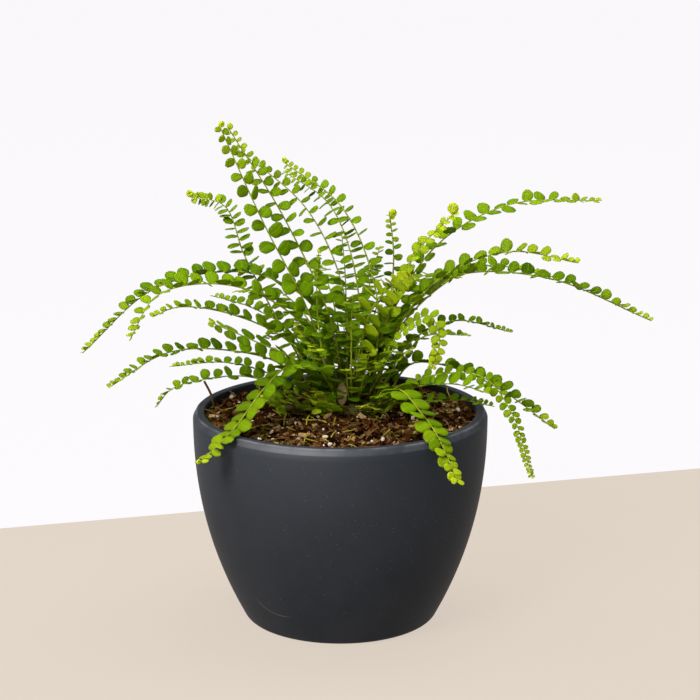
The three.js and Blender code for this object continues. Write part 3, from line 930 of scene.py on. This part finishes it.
def rib_curve(row):
    """Points about a step apart from a frond's foot to its tip, in metres."""
    _, origin, bearing, seat, side, places = row[:6]
    angle = math.radians(bearing)
    shift = rim_distance(bearing) if origin == "rim" else 0
    level = pot_height if origin == "rim" else soil_level
    outwards = np.array([math.cos(angle), math.sin(angle), 0])
    sideways = np.array([-math.sin(angle), math.cos(angle), 0])
    centre = np.array([crown_centre.x, crown_centre.y, 0])
    foot = centre + outwards * seat * MM + sideways * side * MM
    foot[2] = mix_high.z + (OUTER_FOOT_ABOVE_MIX if abs(seat) > OUTER_SEAT else FOOT_ABOVE_MIX)
    passed = [
        centre + outwards * (shift + reach * MM) + np.array([0, 0, level + height * MM])
        for reach, height in places
    ]
    dense = catmull_rom([foot, *passed], 60)
    lengths = np.concatenate([[0], np.cumsum(np.linalg.norm(np.diff(dense, axis=0), axis=1))])
    stations = np.linspace(0, lengths[-1], max(int(lengths[-1] / RIB_STEP), 8))
    return np.stack([np.interp(stations, lengths, dense[:, i]) for i in range(3)], 1)


print("longest rib points:", max(len(rib_curve(row)) for row in FRONDS))

# %% [markdown]
# ## Dressing a rib
#
# A real frond has a wiry rib, thickest at its foot, and leaflets that alternate from side
# to side on very short stalks. They are largest about a third of the way up and shrink
# to beads at the tip, where the youngest are still yellow-green. Hundreds of leaflets
# can't be placed by hand, so they are placed by a loop: every one is a copy of the
# leaflet above, with its own size, turn and tone. The tone, the age and the kind of part
# go in a colour attribute for the material.

# %% Make ribs and place leaflets
def unit(vector):
    return vector / np.linalg.norm(vector)


def tube(path, radii, sides):
    """A closed tube along a path: points, faces and one UV place per point."""
    tangents = np.gradient(path, axis=0)
    side = unit(np.cross(tangents[0], [0.3, 0.9, 0.2]))
    points, uv = [], []
    for i, (centre, tangent) in enumerate(zip(path, tangents)):
        tangent = unit(tangent)
        side = unit(side - tangent * (side @ tangent))
        other = np.cross(tangent, side)
        for k in range(sides):
            angle = 2 * math.pi * k / sides
            points.append(centre + radii[i] * (side * math.cos(angle) + other * math.sin(angle)))
            uv.append((k / sides, i / (len(path) - 1)))
    faces = []
    for i in range(len(path) - 1):
        for k in range(sides):
            a, b = sides * i + k, sides * i + (k + 1) % sides
            faces.append([a, b, b + sides, a + sides])
    faces.append(list(range(sides))[::-1])
    faces.append([sides * (len(path) - 1) + k for k in range(sides)])
    return np.array(points), faces, np.array(uv)


def along_path(path, share):
    """Position and direction at a share of a path's length."""
    at = share * (len(path) - 1)
    i = min(int(at), len(path) - 2)
    return path[i] + (path[i + 1] - path[i]) * (at - i), unit(path[i + 1] - path[i])


def place_leaflet(foot, direction, normal, length, width):
    """A copy of the leaflet: its tip along `direction`, its upper face towards `normal`."""
    across = unit(np.cross(direction, normal))
    upper = np.cross(across, direction)
    scaled = leaf_points * np.array([width, length, length])
    return foot + scaled @ np.stack([across, direction, upper])


class Growth:
    """Collects the parts of one frond and makes them one piece."""

    def __init__(self):
        self.points, self.faces, self.uv, self.paint = [], [], [], []
        self.count = 0

    def add(self, points, faces, uv, paint):
        self.faces += [[index + self.count for index in face] for face in faces]
        self.points.append(points)
        self.uv.append(uv)
        self.paint += paint
        self.count += len(points)

    def piece(self, name, material):
        points, uv = np.concatenate(self.points), np.concatenate(self.uv)
        made = piece_from(name, points, self.faces, self.paint, uv)
        made.data.shade_smooth()
        made.data.materials.append(material)
        return made


LEAF_GROWTH = 1.18  # living leaflets reach past the even edge of the CAD strip
BARE_SHARE = 0.45  # the lowest leaflets grow below the CAD strip's wide part
TUBE_SIDES = 6
COIL_TURNS = 1.4
FOOT_THICKNESS = 0.80 * MM
THINNING = 0.50 * MM


def leaf_length(share, longest, taper):
    """Length of a leaflet by its share of the leafy part of the rib."""
    swollen = min(share / 0.25 + 0.55, 1)
    return LEAF_GROWTH * longest * MM * swollen * (1 - 0.66 * share ** taper)


def coiled(path, turns, radius):
    """A path that ends in a crozier: its tip rolls up like the head of a fiddle."""
    tangent = unit(path[-1] - path[-3])
    upwards = unit(np.array([0, 0, 1]) - tangent * tangent[2])
    steps = int(turns * 10)
    centre = path[-1] + upwards * radius
    coil = []
    for i in range(1, steps + 1):
        angle = 2 * math.pi * turns * i / steps
        shrink = radius * (1 - 0.55 * i / steps)
        coil.append(centre + shrink * (tangent * math.sin(angle) - upwards * math.cos(angle)))
    return np.concatenate([path, coil])


def dress(
    growth, path, heading, roll, longest, bare, dice,
    youth=0, spacing=0.92, facing=0.3, raised=4, curl=0, taper=3,
):
    """Add a rib and its leaflets to a growth.

    `youth` is 0 for an old frond and 1 for one that has just come up.
    `spacing` is how far apart the leaflets grow, for their size.
    `facing` is how far the leaflets turn their upper faces to the sky, from 0 to 1.
    `raised` is how many degrees the two rows of leaflets stand up from the rib's plane.
    `curl` is the crozier's radius in millimetres, or 0 for a frond that has opened.
    `taper` is higher the longer the leaflets keep their size towards the tip.
    """
    stem = path
    if curl:
        stem = coiled(path, COIL_TURNS, curl * MM)
    share = np.linspace(0, 1, len(stem))
    radii = FOOT_THICKNESS - THINNING * share ** 0.6
    if curl:
        radii[len(path) - 1:] = np.linspace(0.3, 0.8, len(stem) - len(path) + 1) * curl * MM
    points, faces, uv = tube(stem, radii, TUBE_SIDES)
    opened = len(path) / len(stem)
    rib_paint = []
    for up in share:
        wooden = up < opened
        rib_paint += [(0.5, youth if wooden else 1, 1 if wooden else 0, up)] * TUBE_SIDES
    growth.add(points, faces, uv, rib_paint)
    length = np.linalg.norm(np.diff(path, axis=0), axis=1).sum()
    tone = dice.uniform(0.15, 0.80)
    sky = np.array([0, 0, 1])
    level = np.array([math.sin(heading), -math.cos(heading), 0])
    first = bare * BARE_SHARE
    at = first * length
    side = 1
    while at < length * 0.995:
        leafy = max(at / length - first, 0) / (1 - first)
        size = leaf_length(leafy, longest, taper)
        foot, tangent = along_path(path, at / length)
        turn = math.radians(roll)
        across = level * math.cos(turn) + np.cross(tangent, level) * math.sin(turn)
        face = np.cross(across, tangent)
        forward = math.radians(dice.gauss(8 + 14 * leafy, 7))
        out = side * across * math.cos(forward) + tangent * math.sin(forward)
        lift = math.radians(dice.gauss(raised, 9))
        out = unit(out * math.cos(lift) + face * math.sin(lift))
        twist = math.radians(dice.gauss(0, 14))
        upper = unit(face * (1 - facing) + sky * facing)
        normal = unit(upper * math.cos(twist) + np.cross(out, upper) * math.sin(twist))
        normal = unit(normal - out * (normal @ out))
        grown = size * dice.uniform(0.90, 1.08)
        width = grown * dice.uniform(0.78, 0.92)
        blade = place_leaflet(foot, out, normal, grown, width)
        age = min(max(youth + 0.45 * leafy ** 4 + dice.gauss(0, 0.05), 0), 1)
        paint = (tone + dice.gauss(0, 0.18), age, 0, leafy)
        growth.add(blade, leaf_faces, leaf_uv, [paint] * len(blade))
        at += 0.5 * size * spacing * (1 + 0.4 * (1 - leafy) ** 2)
        side = -side


print("ready to dress ribs")

# %% [markdown]
# ## Leaf finish
#
# Living leaflets differ from one another: old ones are deep green, the young tips are
# lime. Each has a paler vein along its middle, a faint herringbone of side veins, and a
# soft waxy sheen. The rib is straw to olive, brown at its foot. The blade's own UV map
# says where the vein lies.

# %% Mix the leaf finish
def leaf_finish(name, deep, bright, lime):
    finish = Finish(name, specular_ior_level=0.05, ior=1.2)
    across, along, _ = finish.parts(finish.node("UVMap", {"uv_map": "leaf_map"}))
    tone, youth, wood = finish.parts(finish.attribute("tones"))
    share = finish.attribute("tones", out="Alpha")
    blotch = finish.noise(420, detail=3)
    body = finish.blend(tone * 0.75 + blotch * 0.3, deep, bright)
    body = finish.blend(youth.between(0.05, 0.85), body, lime)
    middle = 1 - (across - 0.5).math("ABSOLUTE").between(0.015, 0.07)
    body = finish.blend(middle * 0.22, body, tuple(1.4 * c for c in bright))
    slant = along * 7 + (across - 0.5).math("ABSOLUTE") * -5
    veins = (slant * (2 * math.pi)).math("SINE") * 0.5 + 0.5
    body = finish.blend(veins * 0.12, body, deep)
    stalk = finish.blend(share.between(0.0, 0.3), (0.11, 0.085, 0.012), (0.27, 0.33, 0.022))
    stalk = finish.blend(youth.between(0.3, 0.9) * 0.6, stalk, lime)
    body = finish.blend(wood, body, stalk)
    height = veins * 0.3 + blotch * 0.4 - middle * 0.9
    return finish.wear(
        base_color=body,
        roughness=0.42 + blotch * 0.18,
        normal=finish.bump(height, 0.0001, 0.3),
    )


green_leaf = leaf_finish(
    "button_leaf",
    deep=(0.030, 0.084, 0.0005),
    bright=(0.195, 0.335, 0.0020),
    lime=(0.47, 0.56, 0.015),
)
young_leaf = leaf_finish(
    "young_leaf",
    deep=(0.20, 0.34, 0.003),
    bright=(0.38, 0.52, 0.008),
    lime=(0.55, 0.62, 0.02),
)
print("leaf finishes ready")

# %% [markdown]
# ## The long fronds
#
# No two fronds of a real plant look the same: old ones arch and show both rows of
# leaflets, young ones stand up with a rolled tip and lime leaflets, and some are crowded
# and others thin. A table gives what is special about a frond, in the words that `dress`
# takes, and a frond that isn't in it is plain. Each frond stands for its CAD strip.

# %% Grow the fronds
ARCHED = 34  # degrees that an arching frond's two rows of leaflets stand up
HABITS = {
    "frond_upper_left_front": {"curl": 1.6, "spacing": 1.2, "facing": 0.12, "taper": 4},
    "frond_upper_left_middle": {"curl": 1.5, "spacing": 1.05, "facing": 0.75},
    "frond_upper_left_back": {"spacing": 1.1, "facing": 0.85},
    "frond_top_left_front": {"curl": 1.4, "spacing": 1.05, "facing": 0.85},
    "frond_top_left_back": {"spacing": 1.0, "facing": 0.85},
    "frond_left_edge_on": {"curl": 1.8, "spacing": 0.6, "facing": 0.92},
    "frond_left_long": {"spacing": 0.8, "raised": ARCHED},
    "frond_left_drooping": {"raised": ARCHED, "taper": 7},
    "frond_left_short_front": {"raised": ARCHED},
    "frond_left_short_back": {"raised": ARCHED},
    "frond_left_towards_front": {"spacing": 1.15, "facing": 0.1},
    "frond_left_low_long": {"spacing": 0.82, "raised": ARCHED},
    "frond_left_low_back": {"raised": ARCHED},
    "frond_over_left_rim": {"raised": ARCHED},
    "frond_over_front_left_rim": {"curl": 1.2, "youth": 0.12, "spacing": 0.76, "facing": 0.1},
    "frond_upright_right": {"curl": 2.2, "spacing": 1.15, "facing": 0.65},
    "frond_upper_right_young": {"curl": 2.8, "youth": 0.3},
    "frond_upper_right_long": {"raised": 18, "taper": 8},
    "frond_right_bright": {"youth": 0.15, "raised": ARCHED, "taper": 6},
    "frond_right_longest": {"raised": ARCHED, "taper": 6},
    "frond_right_behind": {"raised": ARCHED},
    "frond_right_middle": {"raised": ARCHED},
    "frond_right_back": {"raised": ARCHED},
    "frond_right_hanging": {"youth": 0.25, "taper": 8},
    "frond_over_right_rim": {"spacing": 0.85, "raised": ARCHED, "taper": 8},
    "frond_right_low": {"raised": ARCHED, "taper": 6},
    "frond_over_front_right_rim": {"youth": 0.12, "spacing": 0.7, "facing": 0.1},
    "frond_hanging_right_rim": {"youth": 0.15},
    "frond_on_right_rim": {"raised": ARCHED},
    "frond_front_bright": {"youth": 0.35},
    "frond_middle_upright": {"facing": 0.8},
    "frond_inner_back": {"facing": 0.8},
    "frond_inner_right_back": {"facing": 0.8},
    "frond_inner_right": {"facing": 0.8},
    "frond_inner_front": {"facing": 0.8},
    "young_leaf_front_left": {"youth": 0.6},
    "young_leaf_front": {"youth": 0.6},
    "young_leaf_front_right": {"youth": 0.6},
}
dice = random.Random(11)
leaves_grown = 0
for row in FRONDS:
    name, _, bearing, _, _, _, roll, longest, bare = row
    growth = Growth()
    path = rib_curve(row)
    habit = HABITS.get(name, {})
    dress(growth, path, math.radians(bearing), roll, longest, bare, dice, **habit)
    young = name.startswith("young")
    piece = growth.piece("leafy_" + name, young_leaf if young else green_leaf)
    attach(piece, "root")
    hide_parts(name)
    "young_frond" if "young" in name else "green_frond"
    leaves_grown += len(piece.data.polygons)
print("frond faces:", leaves_grown)

# %% [markdown]
# ## The thicket
#
# Between the long fronds stand many short ones, which make the middle of the plant a
# thicket. They have no strips of their own in the CAD model. A loop spreads them around
# the crown, short and upright in the middle, leaning further out towards the edge.

# %% Fill the middle with short fronds
def short_row(bearing, seat, tall, lean):
    """A frond's row for one short frond, in the table's order."""
    places = [
        [seat + lean * 0.35, tall * 0.5],
        [seat + lean * 0.7, tall * 0.85],
        [seat + lean, tall],
    ]
    roll = dice.uniform(-25, 25)
    longest = dice.uniform(6.5, 9)
    return ["", "crown", bearing, seat, 0, places, roll, longest, SHORT_BARE]


# side, first bearing, how many
SHORT_FRONDS = [
    ["left", 110, 7],
    ["front", 200, 5],
    ["right", -70, 5],
    ["back", 20, 5],
]
SHORT_BARE = 0.2
SHORT_SPACING = 0.95
dice = random.Random(23)
for side_name, first_bearing, count in SHORT_FRONDS:
    growth = Growth()
    for i in range(count):
        bearing = first_bearing + 90 * (i + dice.random()) / count
        seat = dice.uniform(3, 21)
        tall = dice.uniform(34, 74) - seat * 0.6
        lean = dice.uniform(8, 26) + seat * 0.5
        row = short_row(bearing, seat, tall, lean)
        path = rib_curve(row)
        youth = dice.uniform(0, 0.3)
        heading = math.radians(bearing)
        roll, longest, bare = row[6:]
        dress(growth, path, heading, roll, longest, bare, dice, youth, SHORT_SPACING, facing=0.85)
    piece = growth.piece("short_fronds_" + side_name, green_leaf)
    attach(piece, "root")
    print(piece.name, len(piece.data.polygons))

# %% [markdown]
# Round the foot of the clump the youngest leaves come up, small and bright, some in among
# the stalks and some out in the mix. A table says where, and a loop grows them with the
# same helpers, at random heights and ages.

# %% Sprout the youngest leaves
# first bearing, how many degrees on, sprouts, how far out from the crown they start
SPROUTS = [
    [175, 45, 13, 13],
    [218, 34, 12, 0],
    [290, 52, 9, 0],
]
growth = Growth()
sites = [
    (first + width * (i + dice.random()) / count, start)
    for first, width, count, start in SPROUTS
    for i in range(count)
]
for bearing, start in sites:
    seat = start + dice.uniform(15, 31)
    row = short_row(bearing, seat, dice.uniform(7, 23), dice.uniform(5, 19))
    path = rib_curve(row)
    youth = 0.9 * dice.random() ** 2
    heading = math.radians(bearing)
    longest = dice.uniform(5, 7.5)
    dress(growth, path, heading, row[6], longest, SHORT_BARE, dice, youth, SHORT_SPACING, facing=0.4)
piece = growth.piece("young_sprouts", green_leaf)
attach(piece, "root")
print(piece.name, len(piece.data.polygons))

# %% [markdown]
# ## Crown, dead stalk and leaf scrap
#
# These CAD pieces have the right shape already, so they stay and only get a finish: brown
# hairy scales with a little green on the crowns, dark wood for the dead stalk, and dry
# tan fibre for the leaf scrap.

# %% Give the carried-over pieces their finish
def crown_finish():
    finish = Finish("crown_scales", specular_ior_level=0.02)
    hair = finish.noise(700, detail=4, rough=0.7)
    patch = finish.noise(160, detail=3)
    body = finish.blend(hair.between(0.35, 0.65), (0.014, 0.007, 0.002), (0.085, 0.055, 0.012))
    body = finish.blend(patch.between(0.5, 0.6) * 0.6, body, (0.13, 0.14, 0.02))
    normal = finish.bump(hair, 0.0015, 1.0)
    return finish.wear(base_color=body, roughness=0.8 + hair * 0.15, normal=normal)


def dry_finish(name, dark, light):
    finish = Finish(name, specular_ior_level=0.02)
    fibre = finish.noise(600, detail=3)
    body = finish.blend(fibre, dark, light)
    normal = finish.bump(fibre, 0.0004, 0.8)
    return finish.wear(base_color=body, roughness=0.75 + fibre * 0.2, normal=normal)


crown_scales = crown_finish()
dead_stalk = dry_finish("dead_stalk", (0.055, 0.024, 0.009), (0.17, 0.085, 0.032))
dry_leaf = dry_finish("dry_leaf", (0.22, 0.13, 0.05), (0.52, 0.36, 0.17))
for node, material in (
    ("crown_main", crown_scales),
    ("crown_side", crown_scales),
    ("dry_stalk", dead_stalk),
    ("dry_leaf_scrap", dry_leaf),
):
    for material_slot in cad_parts[node].material_slots:
        material_slot.material = material
print("carried-over nodes finished")
